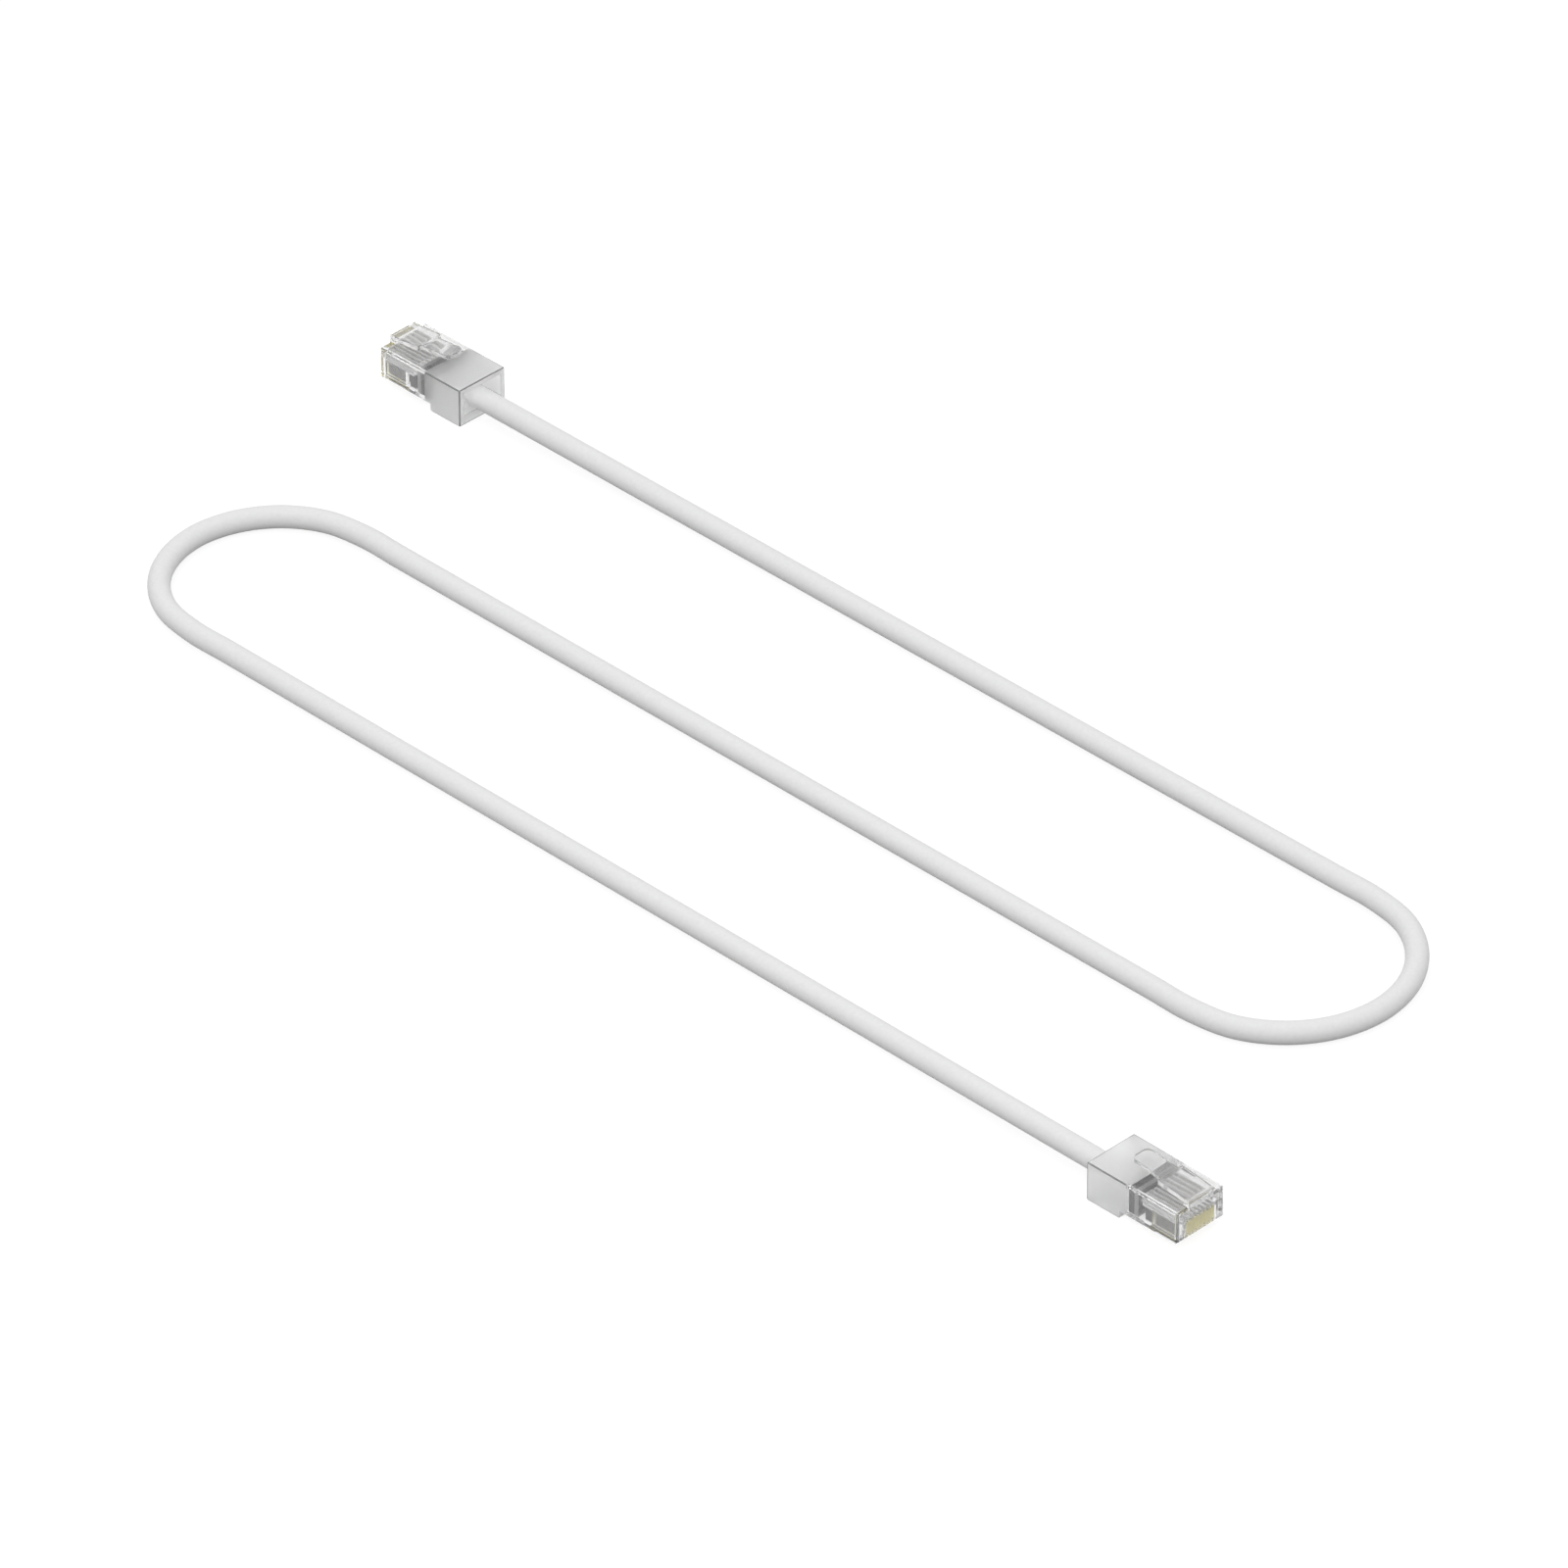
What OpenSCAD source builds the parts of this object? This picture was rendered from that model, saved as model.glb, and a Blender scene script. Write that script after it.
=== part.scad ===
// Ethernet patch cable: a slim round cord with a clear 8-position plug on each end.
// The origin lies on the floor, midway between the two plugs; the long runs of the cord follow X.
// A plug is drawn in its own frame: x runs back from the nose, y across, z up from the floor.

/* [Cord] */
// Outer diameter of the round jacket
cord_d = 4.3; // [4.1:0.05:4.5]
// Depth of the cord's axis below the plug's top face
cord_depth = 4.3; // [4.2:0.05:4.4]
// Length of jacket inside the plug
jacket_in = 5; // [4.6:0.1:5.4]

/* [Plug shell] */
// Length of a plug from nose to rear face
plug_l = 21.5; // [21:0.1:22.5]
// Width of a plug
plug_w = 11.7; // [11.6:0.05:12]
// Height of the rear block
block_h = 8; // [7.9:0.05:8.3]
// Length of the rear block
block_l = 7.9; // [7:0.1:8.4]
// Height of the nose
nose_h = 6.4; // [6.3:0.05:6.6]
// Thickness of the side walls
side_wall = 1; // [0.9:0.02:1.06]
// Thickness of the top wall
top_wall = 1; // [0.8:0.05:1.1]
// Thickness of the floor under the nose
nose_floor = 0.5; // [0.4:0.05:0.55]
// Thickness of the wall at the tip of the nose
front_wall = 1.05; // [0.9:0.05:1.15]
// Chamfer round the tip of the nose
nose_chamfer = 0.4; // [0.2:0.05:0.6]
// Chamfer under the front of the rear block
step_chamfer = 0.3; // [0.1:0.05:0.5]

/* [Contacts] */
// Distance between neighbouring contacts
pitch = 1.02; // [1:0.01:1.04]
// Thickness of a contact
blade_t = 0.35; // [0.25:0.05:0.4]
// Length of a contact
blade_l = 5.4; // [5:0.1:5.6]
// Distance of a contact behind the nose
blade_back = 0.75; // [0.6:0.05:0.9]
// Depth of a contact's lower edge inside its slot
blade_recess = 0.7; // [0.5:0.05:0.9]
// Radius of the corner that touches the socket's spring
blade_r = 0.6; // [0.3:0.05:0.8]
// Width of one piercing tooth at its root
tooth_w = 0.6; // [0.45:0.05:0.8]

/* [Conductors] */
// Diameter over a conductor's insulation
wire_d = 0.88; // [0.82:0.01:0.9]
// Diameter of the copper inside it
core_d = 0.36; // [0.3:0.02:0.4]
// Height of the row of conductors above the nose's underside
row_h = 3.6; // [3.5:0.05:3.7]
// Radius of the ring in which the conductors leave the jacket
ring_r = 1.19; // [1.18:0.01:1.24]

/* [Inner pieces] */
// Length of the load bar's main block
bar_l = 5.4; // [5.1:0.1:5.6]
// Length of the load bar's rear shelf
shelf_l = 2.2; // [2.1:0.05:2.3]
// Length of the conductor clamp
clamp_l = 1.5; // [1.2:0.05:1.6]
// Gap between the load bar's main block and the conductor clamp
clamp_back = 0.6; // [0.5:0.05:0.65]
// Length of the wire guide
guide_l = 2.3; // [2:0.05:2.4]
// Distance between the load bar and the wire guide
guide_back = 1; // [0.8:0.05:1.2]
// Length of the jacket clamp
cradle_l = 2.6; // [2:0.1:2.8]
// Thickness of the jacket clamp's arms
cradle_arm = 0.85; // [0.7:0.05:1]
// Distance of the jacket clamp from the jacket's end
cradle_back = 0.7; // [0.5:0.05:1]
// Depth of the clamps' undersides inside their windows
clamp_recess = 0.3; // [0.1:0.05:0.4]

/* [Latch] */
// Width of the latch at its root and shoulders
latch_w = 6.2; // [5.8:0.1:6.4]
// Width of the latch's handle
handle_w = 4.2; // [3.4:0.1:4.4]
// Distance of the locking shoulders behind the nose
shoulder_x = 7.5; // [7:0.1:8.2]
// Distance of the handle's end behind the nose
latch_end = 14.7; // [14:0.1:15.4]
// Thickness of the latch
latch_t = 1; // [0.9:0.05:1.1]
// Thickness of the handle
handle_t = 0.85; // [0.7:0.05:0.9]
// Height of the root above the top face
root_h = 1.5; // [1.45:0.05:1.7]
// Length of the root block
root_l = 1.4; // [1.3:0.05:1.6]
// Thickness of the lip in front of the hinge
root_lip = 0.3; // [0.2:0.05:0.35]
// Rise of the free latch towards its end, in degrees
latch_rise = 6; // [5:0.1:7]
// Radius of the handle's corners
handle_r = 1.2; // [0.8:0.1:1.5]
// Number of grip ridges on the handle
ridge_n = 3; // [2:1:4]
// Width of a grip ridge
ridge_w = 0.4; // [0.3:0.05:0.5]
// Height of a grip ridge
ridge_h = 0.15; // [0.1:0.01:0.2]

/* [Clearances] */
// Gap between inner pieces and the walls that hold them
fit = 0.03; // [0.02:0.01:0.04]
// Gap between the conductors and the wire guide
guide_gap = 0.15; // [0.1:0.05:0.2]
// Gap between the latch's knuckle and its seat
hinge_gap = 0.08; // [0.06:0.01:0.1]

/* [Hidden] */
$fn = 48;
eps = 0.5;
ways = 8;
ends = ["a", "b"];

// Route of the cord's centre line, from plug a to plug b.
// Each point is x, y and its lift: 0 lies on the floor, 1 is the height of the plug's outlet.
route = [
    [-129.6, 45.3, 1], [-112, 45.3, 1], [-102, 45.5, 0.88], [-90, 46.1, 0.5],
    [-78, 46.7, 0.12], [-68, 46.9, 0], [-58, 46.9, 0], [20, 46.9, 0], [92, 46.9, 0],
    [101.4, 46.9, 0], [110.3, 45.1, 0], [117.8, 39.9, 0], [122.8, 32.3, 0], [124.6, 23.2, 0],
    [122.8, 14.2, 0], [117.8, 6.6, 0], [110.3, 1.4, 0], [101.4, -0.4, 0],
    [92, -0.4, 0], [0, -0.4, 0], [-99, -0.4, 0],
    [-108.8, -0.4, 0], [-117.1, -2, 0], [-124.2, -6.7, 0], [-128.9, -13.8, 0], [-130.6, -22.1, 0],
    [-128.9, -30.3, 0], [-124.2, -37.4, 0], [-117.1, -42.1, 0], [-108.8, -43.7, 0],
    [-99, -43.7, 0], [-20, -43.7, 0], [58, -43.7, 0], [68, -43.7, 0], [78, -43.9, 0.12],
    [90, -44.5, 0.5], [102, -45.1, 0.88], [112, -45.3, 1], [129.6, -45.3, 1]
];

cord_z = block_h - cord_depth;
jacket_x = plug_l - jacket_in;
nose_z = block_h - nose_h;
step_x = plug_l - block_l;
floor_z = nose_z + nose_floor;
roof_z = block_h - top_wall;
room_w = plug_w - 2 * side_wall;

row_z = nose_z + row_h;
row_w = ways * pitch;
slot_w = blade_t + 2 * fit;
ridge_z = row_z - wire_d / 2 - fit;
blade_z = nose_z + blade_recess;
blade_end = blade_back + blade_l;

bar_x = front_wall + fit;
bar_end = bar_x + bar_l;
shelf_end = bar_end + shelf_l;
clamp_x = bar_end + clamp_back;
clamp_w = row_w + 0.2;
guide_x = shelf_end + guide_back;
guide_end = guide_x + guide_l;
fan_front = guide_x;
cradle_x = jacket_x + cradle_back;
cradle_w = cord_d + 2 * cradle_arm;

knuckle_r = latch_t / 2;
hinge_x = root_lip + hinge_gap + knuckle_r;
hinge_z = block_h + root_h - knuckle_r;
shoulder_l = shoulder_x - hinge_x;
lever_l = latch_end - hinge_x;

// ---- Curves and tubes ----

// Height of a route point above the floor
function route_z(lift) = cord_d / 2 + lift * (cord_z - cord_d / 2);

cord_points = [for (p = route) [p[0], p[1], route_z(p[2])]];
cord_steps = [for (i = [0:len(route) - 2]) norm(cord_points[i + 1] - cord_points[i])];

// Direction at a point, from its two neighbours, the nearer one counting more
function heading(i) =
    i == 0 ? (cord_points[1] - cord_points[0]) / cord_steps[0]
    : i == len(cord_steps) ? (cord_points[i] - cord_points[i - 1]) / cord_steps[i - 1]
    : (cord_steps[i] * (cord_points[i] - cord_points[i - 1]) / cord_steps[i - 1]
       + cord_steps[i - 1] * (cord_points[i + 1] - cord_points[i]) / cord_steps[i])
      / (cord_steps[i - 1] + cord_steps[i]);

// Point at t = 0..1 along stretch i: a cubic curve through both ends, held above the floor
function along(i, t) =
    let (
        p = (2 * t * t * t - 3 * t * t + 1) * cord_points[i]
            + (t * t * t - 2 * t * t + t) * cord_steps[i] * heading(i)
            + (3 * t * t - 2 * t * t * t) * cord_points[i + 1]
            + (t * t * t - t * t) * cord_steps[i] * heading(i + 1)
    )
    [p[0], p[1], max(p[2], cord_d / 2)];

// Corners of a ring of n points about centre c, square to direction d
function ring(c, d, r, n) =
    let (side = cross([0, 0, 1], d) / norm(cross([0, 0, 1], d)), up = cross(d, side) / norm(d))
    [for (k = [0:n - 1]) c + r * (cos(360 * (k + 0.5) / n) * side + sin(360 * (k + 0.5) / n) * up)];

// Closed tube through rings of n points each
module tube(rings, n) {
    last = len(rings) - 1;
    polyhedron(
        points = [for (r = rings) for (p = r) p],
        faces = concat(
            [[for (k = [0:n - 1]) k]],
            [for (i = [0:last - 1]) for (k = [0:n - 1])
                [i * n + k, (i + 1) * n + k, (i + 1) * n + (k + 1) % n, i * n + (k + 1) % n]],
            [[for (k = [n - 1:-1:0]) last * n + k]]
        ),
        convexity = 8
    );
}

// 0 to 1 with level ends
function ease(t) =
    let (u = min(max(t, 0), 1))
    u * u * (3 - 2 * u);

// ---- The two ends ----

// Places a plug's piece at end e of the cord; plug b is plug a turned half a turn
module at_end(e) {
    p = e == "a" ? route[0] : route[len(route) - 1];
    translate([p[0], p[1], 0])
        rotate([0, 0, e == "a" ? 0 : 180])
            translate([-jacket_x, 0, 0])
                children();
}

// Across the row, from contact 1 to contact 8
function way_y(i) = (ways / 2 + 0.5 - i) * pitch;

// Box from its corner lo to its corner hi
module block(lo, hi) {
    translate(lo)
        cube(hi - lo);
}

// Box of width w, centred across the plug, from x0, z0 to x1, z1
module bar(w, x0, z0, x1, z1) {
    block([x0, -w / 2, z0], [x1, w / 2, z1]);
}

// Prism of width w from an outline in x and z
module side_profile(w, outline) {
    translate([0, w / 2, 0])
        rotate([90, 0, 0])
            linear_extrude(w)
                polygon(outline);
}

// Rod along x
module rod(r, x0, x1, y, z) {
    translate([x0, y, z])
        rotate([0, 90, 0])
            cylinder(r = r, h = x1 - x0);
}

// ---- Plug shell ----

module shell_body() {
    c = nose_chamfer;
    s = step_chamfer;
    intersection() {
        side_profile(plug_w, [
            [c, nose_z], [step_x, nose_z], [step_x, s], [step_x + s, 0], [plug_l, 0],
            [plug_l, block_h], [c, block_h], [0, block_h - c], [0, nose_z + c]
        ]);
        linear_extrude(block_h)
            polygon([
                [0, c - plug_w / 2], [c, -plug_w / 2], [plug_l, -plug_w / 2],
                [plug_l, plug_w / 2], [c, plug_w / 2], [0, plug_w / 2 - c]
            ]);
    }
}

// Room for the conductors and the cord, open at the rear, with the contact ridges left standing
module shell_room() {
    difference() {
        bar(room_w, front_wall, floor_z, plug_l + eps, roof_z);
        bar(row_w + 2 * fit, front_wall - eps, floor_z - eps, bar_end, ridge_z);
    }
}

module contact_slots() {
    for (i = [1:ways])
        translate([0, way_y(i), 0])
            bar(slot_w, -eps, nose_z - eps, blade_end + fit, row_z);
}

module clamp_windows() {
    bar(clamp_w + 2 * fit, clamp_x - fit, nose_z - eps, clamp_x + clamp_l + fit, floor_z + eps);
    bar(cradle_w + 2 * fit, cradle_x - fit, -eps, cradle_x + cradle_l + fit, floor_z + eps);
}

// Seat of the latch on the top face, hollowed for the knuckle
module latch_root() {
    c = nose_chamfer / 2;
    difference() {
        side_profile(latch_w, [
            [0, block_h - nose_chamfer - 0.1], [root_l, block_h - nose_chamfer - 0.1],
            [root_l, hinge_z], [root_l, block_h + root_h],
            [c, block_h + root_h], [0, block_h + root_h - c]
        ]);
        translate([hinge_x, latch_w / 2 + eps, hinge_z])
            rotate([90, 0, 0])
                cylinder(r = knuckle_r + hinge_gap, h = latch_w + 2 * eps);
        bar(latch_w + 2 * eps, hinge_x, hinge_z - knuckle_r - hinge_gap, root_l + eps,
            block_h + root_h + eps);
    }
}

module plug_shell() {
    color([0.86, 0.87, 0.87, 0.45]) {
        difference() {
            shell_body();
            shell_room();
            contact_slots();
            clamp_windows();
            rod(cord_d / 2 + fit, jacket_x - fit, plug_l + eps, 0, cord_z);
        }
        latch_root();
    }
}

// ---- Latch ----

module handle() {
    r = handle_r;
    y = handle_w / 2 - r;
    z0 = -knuckle_r;
    bar(handle_w, shoulder_l - eps, z0, lever_l - r, z0 + handle_t);
    bar(2 * y, shoulder_l, z0, lever_l, z0 + handle_t);
    for (side = [-1, 1])
        translate([lever_l - r, side * y, z0])
            cylinder(r = r, h = handle_t);
    for (k = [0:ridge_n - 1])
        bar(handle_w - 2 * r, lever_l - r - 2 * k * ridge_w - ridge_w, z0 + handle_t - eps / 2,
            lever_l - r - 2 * k * ridge_w, z0 + handle_t + ridge_h);
}

module latch() {
    color([0.86, 0.87, 0.87, 0.45])
        translate([hinge_x, 0, hinge_z])
            rotate([0, -latch_rise, 0]) {
                translate([0, latch_w / 2, 0])
                    rotate([90, 0, 0])
                        cylinder(r = knuckle_r, h = latch_w);
                side_profile(latch_w, [
                    [0, -knuckle_r], [shoulder_l, -knuckle_r], [shoulder_l, knuckle_r],
                    [0, knuckle_r]
                ]);
                handle();
            }
}

// ---- Inner pieces ----

module contact_outline() {
    top = ridge_z - fit;
    tip = row_z + 0.05;
    teeth = [0.22, 0.5, 0.78];
    polygon(concat(
        [for (a = [180:18:270])
            [blade_back + blade_r * (1 + cos(a)), blade_z + blade_r * (1 + sin(a))]],
        [[blade_end, blade_z], [blade_end, top]],
        [for (k = [2:-1:0])
            let (x = blade_back + teeth[k] * blade_l)
            each [[x + tooth_w / 2, top], [x + tooth_w / 4, tip], [x - tooth_w / 4, tip],
                [x - tooth_w / 2, top]]],
        [[blade_back, top]]
    ));
}

module contact(i) {
    color([0.83, 0.68, 0.25])
        translate([0, way_y(i) + blade_t / 2, 0])
            rotate([90, 0, 0])
                linear_extrude(blade_t)
                    contact_outline();
}

module load_bar() {
    w = room_w - 2 * fit;
    color([0.78, 0.8, 0.8, 0.6])
        difference() {
            union() {
                bar(w, bar_x, floor_z + fit, bar_end, roof_z - fit);
                bar(w, bar_x, row_z, shelf_end, roof_z - fit);
            }
            bar(row_w + 4 * fit, bar_x - eps, floor_z - eps, bar_end + eps, ridge_z + fit);
            for (i = [1:ways]) {
                rod(wire_d / 2 + fit / 2, bar_x - eps, shelf_end + eps, way_y(i), row_z);
                translate([0, way_y(i), 0])
                    bar(slot_w, bar_x - eps, ridge_z - eps, blade_end + fit, row_z);
            }
        }
}

module conductor_clamp() {
    color([0.55, 0.56, 0.57, 0.7])
        difference() {
            bar(clamp_w, clamp_x, nose_z + clamp_recess, clamp_x + clamp_l, row_z - fit);
            for (i = [1:ways])
                rod(wire_d / 2 + fit / 2, clamp_x - eps, clamp_x + clamp_l + eps, way_y(i), row_z);
        }
}

// Ring whose sloping floor lifts the conductors from the cord's height into the row
module wire_guide() {
    w = room_w - 2 * fit;
    room = wire_d / 2 + guide_gap;
    leave = guide_l / (jacket_x - fan_front);
    sill = min([for (i = [1:ways]) fan_z(i, leave)]) - room;
    color([0.45, 0.46, 0.47, 0.75])
        difference() {
            bar(w, guide_x, floor_z + fit, guide_end, roof_z - fit);
            side_profile(row_w + 0.1, [
                [guide_x - eps, row_z - room], [guide_x, row_z - room], [guide_end, sill],
                [guide_end + eps, sill], [guide_end + eps, row_z + room],
                [guide_x - eps, row_z + room]
            ]);
        }
}

module jacket_clamp() {
    color([0.8, 0.81, 0.81, 0.6])
        difference() {
            bar(cradle_w, cradle_x, clamp_recess, cradle_x + cradle_l, cord_z);
            rod(cord_d / 2 + fit, cradle_x - eps, cradle_x + cradle_l + eps, 0, cord_z);
        }
}

// ---- Conductors ----

// Places round the jacket's end, sorted across the plug, so that no two conductors cross
way_angles = [22.5, -22.5, 67.5, -67.5, -112.5, 112.5, -157.5, 157.5];
spread_share = 0.6;
climb_start = 0.3;
fan_rings = 10;
fan_sides = 8;
fan_r = wire_d / 2 - 0.01;

// Height of conductor i's centre at t = 0 (in the row) to 1 (at the jacket's end)
function fan_z(i, t) =
    let (
        low = cord_z + ring_r * sin(way_angles[i - 1]),
        up = ease((1 - t - climb_start) / (1 - climb_start))
    )
    low + (row_z - low) * up;

// Place of conductor i's centre across the plug
function fan_y(i, t) =
    let (near = ring_r * cos(way_angles[i - 1]), out = ease((1 - t) / spread_share))
    near + (way_y(i) - near) * out;

// Ring of points round conductor i
function fan_ring(i, t) =
    [for (k = [0:fan_sides - 1]) [
        fan_front + (jacket_x - fan_front) * t,
        fan_y(i, t) + fan_r * cos(360 * k / fan_sides),
        fan_z(i, t) + fan_r * sin(360 * k / fan_sides)
    ]];

module conductor(i) {
    lead = fan_front - 0.3;
    color([0.93, 0.93, 0.92])
        difference() {
            union() {
                rod(wire_d / 2, bar_x, fan_front, way_y(i), row_z);
                tube(concat(
                    [[for (p = fan_ring(i, 0)) [lead, p[1], p[2]]]],
                    [for (k = [0:fan_rings]) fan_ring(i, k / fan_rings)]
                ), fan_sides);
            }
            rod(core_d / 2, bar_x - eps, guide_x - eps, way_y(i), row_z);
            contact(i);
        }
}

module copper_cores() {
    color([0.72, 0.45, 0.3])
        for (i = [1:ways])
            difference() {
                rod(core_d / 2, bar_x, guide_x - eps, way_y(i), row_z);
                contact(i);
            }
}

// ---- Cord ----

cord_sides = 10;
ring_gap = 2.9 * cord_d;

module cord_jacket() {
    last = len(cord_steps) - 1;
    marks = [for (i = [0:last])
        let (n = ceil(cord_steps[i] / ring_gap))
        for (k = [0:n - 1]) along(i, k / n)];
    spine = concat(marks, [cord_points[last + 1]]);
    count = len(spine);
    color([0.92, 0.92, 0.92])
        tube([for (j = [0:count - 1])
            let (d = spine[min(j + 1, count - 1)] - spine[max(j - 1, 0)])
            ring(spine[j], d / norm(d), cord_d / 2, cord_sides)], cord_sides);
}

// ---- Nodes ----

cord_jacket();
for (e = ends) {
    at_end(e) plug_shell();
    at_end(e) latch();
    at_end(e) load_bar();
    at_end(e) conductor_clamp();
    at_end(e) wire_guide();
    at_end(e) jacket_clamp();
    at_end(e) copper_cores();
    for (i = [1:ways]) {
        at_end(e) contact(i);
        at_end(e) conductor(i);
    }
}
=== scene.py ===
# %% [markdown]
# A network patch cord in Blender: a slim white cord laid in an S, with a clear plug on each end.
# The solid model gives every piece its place and size. This notebook gives each of them its finish,
# replaces the faceted ones by smooth surfaces, and sets the light and the camera.

import bmesh
import bpy
import numpy as np
from mathutils import Matrix


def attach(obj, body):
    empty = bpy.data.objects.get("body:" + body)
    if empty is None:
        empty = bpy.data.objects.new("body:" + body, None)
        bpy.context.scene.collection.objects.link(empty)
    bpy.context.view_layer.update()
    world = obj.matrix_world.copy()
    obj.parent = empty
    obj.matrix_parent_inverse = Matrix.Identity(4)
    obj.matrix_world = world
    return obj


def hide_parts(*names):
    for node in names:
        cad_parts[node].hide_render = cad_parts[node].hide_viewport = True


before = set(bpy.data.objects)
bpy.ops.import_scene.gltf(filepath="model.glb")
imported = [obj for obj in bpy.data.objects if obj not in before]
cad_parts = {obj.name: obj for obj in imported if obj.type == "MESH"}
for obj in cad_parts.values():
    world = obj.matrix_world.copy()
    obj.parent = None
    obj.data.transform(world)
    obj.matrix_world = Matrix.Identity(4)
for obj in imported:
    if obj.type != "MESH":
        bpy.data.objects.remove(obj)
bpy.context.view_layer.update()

# %% [markdown]
# The two plugs are alike, so a plug's pieces are worked out once, in millimetres and in the plug's
# own axes: x runs back from the nose, y across the plug and z up. The cord's jacket ends a little
# way inside the plug, and that point places it. Plug b is turned half a turn against plug a.

# %% Axes of a plug
MM = 0.001
JACKET_X = 16.5
JACKET_END = {"a": np.array([-129.6, 45.3, 0.0]), "b": np.array([129.6, -45.3, 0.0])}
TURNED = {"a": np.array([1.0, 1.0, 1.0]), "b": np.array([-1.0, -1.0, 1.0])}


def to_row(points, end):
    """From a plug's axes, in millimetres, to the shared ones, in metres."""
    behind_nose = np.asarray(points, dtype=float) - np.array([JACKET_X, 0.0, 0.0])
    return (JACKET_END[end] + TURNED[end] * behind_nose) * MM


def to_plug(points, end):
    """From the shared axes, in metres, back to a plug's axes, in millimetres."""
    return (points - to_row([0.0, 0.0, 0.0], end)) / MM * TURNED[end]


print("plug a's nose is at x =", to_row([0.0, 0.0, 0.0], "a")[0] / MM, "mm")

# %% [markdown]
# The camera stands far off with a long lens, so the runs of the cord stay almost parallel. It looks
# down at 35 degrees, with the runs turned by 45 degrees.

# %% Camera
AZIMUTH, ELEVATION = np.radians(44.93), np.radians(35.06)
AIM = np.array([3.64, -3.56, 3.73]) * MM
FAR = 2.4536
SENSOR = 36.0
FOCAL_PIXELS, FRAME_PIXELS = 13986.0, 1600.0

forward = np.array([
    -np.sin(AZIMUTH) * np.cos(ELEVATION),
    np.cos(AZIMUTH) * np.cos(ELEVATION),
    -np.sin(ELEVATION),
])
right = np.array([np.cos(AZIMUTH), np.sin(AZIMUTH), 0.0])
up = np.cross(right, forward)
camera = bpy.data.objects.new("camera", bpy.data.cameras.new("camera"))
bpy.context.scene.collection.objects.link(camera)
matrix = np.eye(4)
matrix[:3, 0], matrix[:3, 1], matrix[:3, 2] = right, up, -forward
matrix[:3, 3] = AIM - FAR * forward
camera.matrix_world = Matrix(matrix.tolist())
camera.data.sensor_width = SENSOR
camera.data.lens = FOCAL_PIXELS / FRAME_PIXELS * SENSOR
camera.data.clip_start, camera.data.clip_end = 0.1, 50.0
bpy.context.scene.camera = camera
print("camera at", np.round(matrix[:3, 3], 3), "lens", round(camera.data.lens, 1))

# %% [markdown]
# Every new surface here is a mesh made from whole arrays. This helper puts the points, the faces
# and the UV pairs into a mesh and links it to the scene as an object at the origin.

# %% Helper that puts arrays into a mesh


def new_piece(name, points, faces, uv=None, smooth=True):
    """Mesh object from arrays; uv is one pair for each corner of each face, in order."""
    mesh = bpy.data.meshes.new(name)
    mesh.from_pydata([tuple(p) for p in points], [], [tuple(f) for f in faces])
    if uv is not None:
        layer = mesh.uv_layers.new(name="UVMap")
        layer.data.foreach_set("uv", np.asarray(uv, dtype=np.float32).ravel())
    mesh.polygons.foreach_set("use_smooth", np.full(len(mesh.polygons), smooth))
    mesh.update()
    piece = bpy.data.objects.new(name, mesh)
    bpy.context.scene.collection.objects.link(piece)
    return piece


print("mesh helper ready")

# %% [markdown]
# Cord, conductors and latches are grids: one parameter runs along the piece and the other round it.
# The first helper takes the points as an array of rings, joins neighbours into quads, and closes
# both ends with a fan, so each piece is a closed skin whose faces point outwards. The second one
# makes the rings of a round tube.

# %% Skins made of rings


def ring_grid(rings):
    """
    Points, faces and UVs of a closed skin through rings[i, j]: quads between neighbours and a fan
    on each end. U is the distance along the rings' middles, and V the share of the way round.
    """
    count, sides = rings.shape[:2]
    i, j = np.meshgrid(np.arange(count - 1), np.arange(sides), indexing="ij")
    this, beyond = i * sides, (i + 1) * sides
    j_next = (j + 1) % sides
    quads = np.stack([this + j, this + j_next, beyond + j_next, beyond + j], -1)
    step = np.linalg.norm(np.diff(rings.mean(axis=1), axis=0), axis=1)
    distance = np.concatenate([[0.0], np.cumsum(step)])
    u = np.stack([distance[i], distance[i], distance[i + 1], distance[i + 1]], -1)
    v = np.stack([j, j + 1, j + 1, j], -1) / sides
    first_middle, last_middle = count * sides, count * sides + 1
    k = np.arange(sides)
    k_next = (k + 1) % sides
    last_ring = (count - 1) * sides
    first = np.stack([np.full(sides, first_middle), k_next, k], -1)
    last = np.stack([np.full(sides, last_middle), last_ring + k, last_ring + k_next], -1)
    faces = quads.reshape(-1, 4).tolist() + first.tolist() + last.tolist()
    fans = np.zeros((2 * sides * 3, 2))
    uv = np.concatenate([np.stack([u, v], -1).reshape(-1, 2), fans])
    middles = [rings[:1].mean(axis=1), rings[-1:].mean(axis=1)]
    points = np.concatenate([rings.reshape(-1, 3), *middles])
    return points, faces, uv


def tube_rings(path, radius, sides):
    """Rings square to a path that stays nearly level: centre + r (cos a * side + sin a * top)."""
    way = np.gradient(path, axis=0)
    way /= np.linalg.norm(way, axis=1, keepdims=True)
    side = np.cross([0.0, 0.0, 1.0], way)
    side /= np.linalg.norm(side, axis=1, keepdims=True)
    top = np.cross(way, side)
    a = 2 * np.pi * np.arange(sides) / sides
    radius = np.broadcast_to(radius, len(path))[:, None, None]
    return path[:, None] + radius * (
        np.cos(a)[None, :, None] * side[:, None] + np.sin(a)[None, :, None] * top[:, None]
    )


print("ring helpers ready")

# %% [markdown]
# The cord is one length of jacket from plug to plug. It lies on the floor in an S and rises over
# the last few centimetres to the plugs' outlets. The route is a list of points, each with a lift
# from 0, on the floor, to 1, at the outlet. A cubic curve joins them.

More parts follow.
